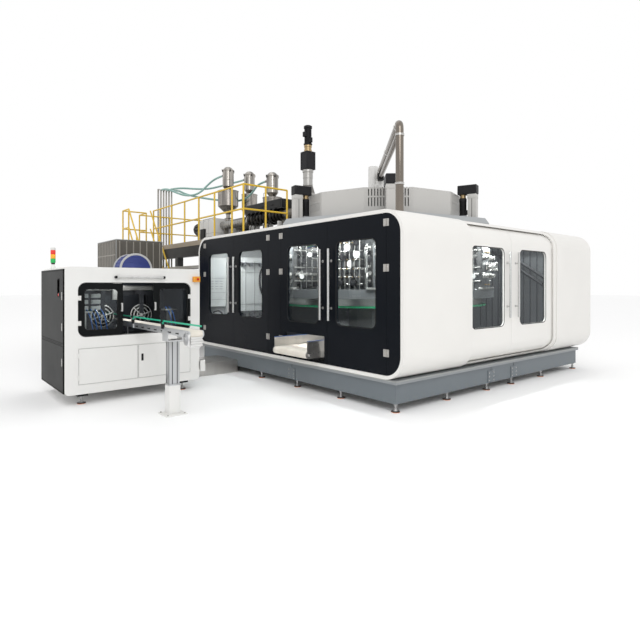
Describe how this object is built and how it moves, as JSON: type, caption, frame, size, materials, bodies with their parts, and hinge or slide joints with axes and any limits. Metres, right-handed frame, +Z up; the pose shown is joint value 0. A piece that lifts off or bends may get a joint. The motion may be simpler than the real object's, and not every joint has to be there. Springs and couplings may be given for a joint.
{
  "type": "blow moulding machine",
  "caption": "Rotary extrusion blow moulding machine with its enclosure, extruder platform, hoppers and bottle trimming unit.",
  "frame": {"origin": "middle of the machine's footprint, on the floor", "axes": "+X to the right along the black door front, +Y into the machine, +Z up"},
  "size_m": [11.514, 8.808, 5.4603],
  "materials": {
    "front_black": "satin",
    "cover_white": "satin",
    "base_grey": "satin",
    "foot_steel": "bright",
    "window": "clear",
    "stainless": "brushed",
    "belt_cream": "matt",
    "machine_grey": "satin",
    "clamp_steel": "satin",
    "tower_white": "satin",
    "deck_grey": "satin",
    "motor_black": "satin",
    "head_steel": "rough",
    "platform_brown": "satin",
    "rail_yellow": "gloss",
    "extruder_grey": "satin",
    "hose_green": "satin",
    "mill_grey": "satin",
    "trimmer_black": "satin",
    "stop_red": "gloss",
    "lamp_plastic": "gloss",
    "conveyor_alu": "satin"
  },
  "bodies": {
    "machine": {"base_frame": "base_grey", "levelling_feet": "foot_steel", "front_rim": "cover_white", "front_posts": "front_black", "main_cover": "cover_white", "right_front_cover": "cover_white", "right_rear_cover": "cover_white", "scrap_conveyor_frame": "stainless", "scrap_conveyor_belt": "belt_cream", "rotary_union": "stainless", "pipe_gantry": "stainless", "die_head": "head_steel", "parison_servo": "motor_black", "platform": "platform_brown", "railings": "rail_yellow", "extruders": "extruder_grey", "hoppers": "stainless", "conveying_pipes": "stainless", "hose_1": "hose_green", "hose_2": "hose_green", "hose_3": "hose_green", "granulator": "mill_grey", "trimmer_cabinet": "cover_white", "signal_tower": "lamp_plastic", "trimming_head": "clamp_steel", "outlet_conveyor": "conveyor_alu", "outlet_belt": "belt_cream"},
    "front_door_1_leaf": {"front_door_1": "front_black", "front_glass_1": "window"},
    "front_door_2_leaf": {"front_door_2": "front_black", "front_glass_2": "window"},
    "front_door_3_leaf": {"front_door_3": "front_black", "front_glass_3": "window"},
    "front_door_4_leaf": {"front_door_4": "front_black", "front_glass_4": "window"},
    "side_door_1_leaf": {"side_door_1": "cover_white", "side_glass_1": "window"},
    "side_door_2_leaf": {"side_door_2": "cover_white", "side_glass_2": "window"},
    "carousel": {"carousel_table": "machine_grey", "clamp_frames": "clamp_steel", "tower_cover": "tower_white", "tower_deck": "deck_grey", "clamp_columns": "tower_white", "clamp_drives": "motor_black"},
    "platen_1": {"moving_platen_1": "clamp_steel"},
    "platen_2": {"moving_platen_2": "clamp_steel"},
    "platen_3": {"moving_platen_3": "clamp_steel"},
    "platen_4": {"moving_platen_4": "clamp_steel"},
    "platen_5": {"moving_platen_5": "clamp_steel"},
    "platen_6": {"moving_platen_6": "clamp_steel"},
    "trimmer_window_1": {"trimmer_window_door_1": "trimmer_black", "trimmer_glass_1": "window"},
    "trimmer_window_2": {"trimmer_window_door_2": "trimmer_black", "trimmer_glass_2": "window"},
    "trimmer_lower_1": {"trimmer_lower_door_1": "cover_white"},
    "trimmer_lower_2": {"trimmer_lower_door_2": "cover_white"},
    "trimmer_side_1": {"trimmer_side_door_1": "trimmer_black"},
    "trimmer_side_2": {"trimmer_side_door_2": "trimmer_black"},
    "estop": {"estop_button": "stop_red"}
  },
  "joints": [
    {"name": "front_door_1_hinge", "type": "hinge", "parent": "machine", "child": "front_door_1_leaf", "pos_m": [0.359, -1.254, 1.53], "axis": [0, 0, -1], "range_deg": [0, 95]},
    {"name": "front_door_2_hinge", "type": "hinge", "parent": "machine", "child": "front_door_2_leaf", "pos_m": [2.709, -1.254, 1.53], "axis": [0, 0, 1], "range_deg": [0, 95]},
    {"name": "front_door_3_hinge", "type": "hinge", "parent": "machine", "child": "front_door_3_leaf", "pos_m": [3.089, -1.254, 1.53], "axis": [0, 0, -1], "range_deg": [0, 95]},
    {"name": "front_door_4_hinge", "type": "hinge", "parent": "machine", "child": "front_door_4_leaf", "pos_m": [5.439, -1.254, 1.53], "axis": [0, 0, 1], "range_deg": [0, 95]},
    {"name": "side_door_1_slide", "type": "slide", "parent": "machine", "child": "side_door_1_leaf", "axis": [0, -1, 0], "range_m": [0, 1]},
    {"name": "side_door_2_slide", "type": "slide", "parent": "machine", "child": "side_door_2_leaf", "axis": [0, 1, 0], "range_m": [0, 1]},
    {"name": "carousel_spin", "type": "hinge", "parent": "machine", "child": "carousel", "pos_m": [2.899, 1.344, 1.42], "axis": [0, 0, 1], "continuous": true},
    {"name": "platen_1_slide", "type": "slide", "parent": "carousel", "child": "platen_1", "axis": [0.749, -0.6626, 0], "range_m": [0, 0.2]},
    {"name": "platen_2_slide", "type": "slide", "parent": "carousel", "child": "platen_2", "axis": [0.9483, 0.3173, 0], "range_m": [0, 0.2]},
    {"name": "platen_3_slide", "type": "slide", "parent": "carousel", "child": "platen_3", "axis": [0.1994, 0.9799, 0], "range_m": [0, 0.2]},
    {"name": "platen_4_slide", "type": "slide", "parent": "carousel", "child": "platen_4", "axis": [-0.749, 0.6626, 0], "range_m": [0, 0.2]},
    {"name": "platen_5_slide", "type": "slide", "parent": "carousel", "child": "platen_5", "axis": [-0.9483, -0.3173, 0], "range_m": [0, 0.2]},
    {"name": "platen_6_slide", "type": "slide", "parent": "carousel", "child": "platen_6", "axis": [-0.1994, -0.9799, 0], "range_m": [0, 0.2]},
    {"name": "trimmer_window_1_hinge", "type": "hinge", "parent": "machine", "child": "trimmer_window_1", "pos_m": [2.517, -4.211, 1.3], "axis": [0, 0, -1], "range_deg": [0, 100]},
    {"name": "trimmer_window_2_hinge", "type": "hinge", "parent": "machine", "child": "trimmer_window_2", "pos_m": [2.517, -2.587, 1.3], "axis": [0, 0, 1], "range_deg": [0, 100]},
    {"name": "trimmer_lower_1_hinge", "type": "hinge", "parent": "machine", "child": "trimmer_lower_1", "pos_m": [2.517, -4.215, 0.528], "axis": [0, 0, -1], "range_deg": [0, 100]},
    {"name": "trimmer_lower_2_hinge", "type": "hinge", "parent": "machine", "child": "trimmer_lower_2", "pos_m": [2.517, -2.58, 0.528], "axis": [0, 0, 1], "range_deg": [0, 100]},
    {"name": "trimmer_side_1_hinge", "type": "hinge", "parent": "machine", "child": "trimmer_side_1", "pos_m": [1.111, -4.404, 0.84], "axis": [0, 0, -1], "range_deg": [0, 100]},
    {"name": "trimmer_side_2_hinge", "type": "hinge", "parent": "machine", "child": "trimmer_side_2", "pos_m": [1.111, -4.404, 0.84], "axis": [0, 0, -1], "range_deg": [0, 100]},
    {"name": "estop_press", "type": "slide", "parent": "machine", "child": "estop", "axis": [-1, 0, 0], "range_m": [0, 0.006], "stiffness_N_per_m": 600}
  ]
}
